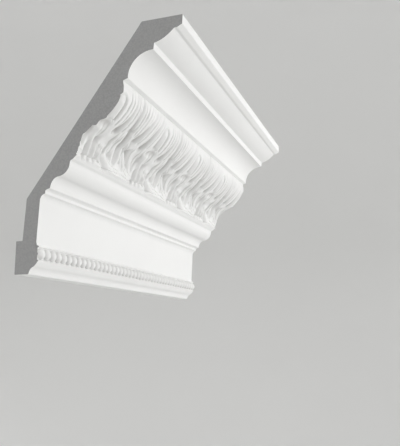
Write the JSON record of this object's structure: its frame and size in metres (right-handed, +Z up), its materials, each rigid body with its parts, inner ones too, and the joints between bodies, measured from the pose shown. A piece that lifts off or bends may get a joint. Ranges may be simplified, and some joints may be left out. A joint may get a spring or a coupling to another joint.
{
  "type": "cornice moulding length",
  "caption": "Straight length of cast cornice moulding with a carved acanthus leaf band, a cove, a plain frieze and a bead row, cut square at both ends.",
  "frame": {"origin": "middle of the flat strip at the foot of the back, which meets the wall, halfway along the length", "axes": "+X along the run, to the right as seen from the room; +Y into the wall; +Z up to the ceiling"},
  "size_m": [0.38, 0.15, 0.21],
  "materials": {
    "painted_foam": "matt white primed front, bare grey foam on the sawn ends and the back"
  },
  "bodies": {
    "root": {"cornice_moulding": "painted_foam"}
  },
  "joints": []
}
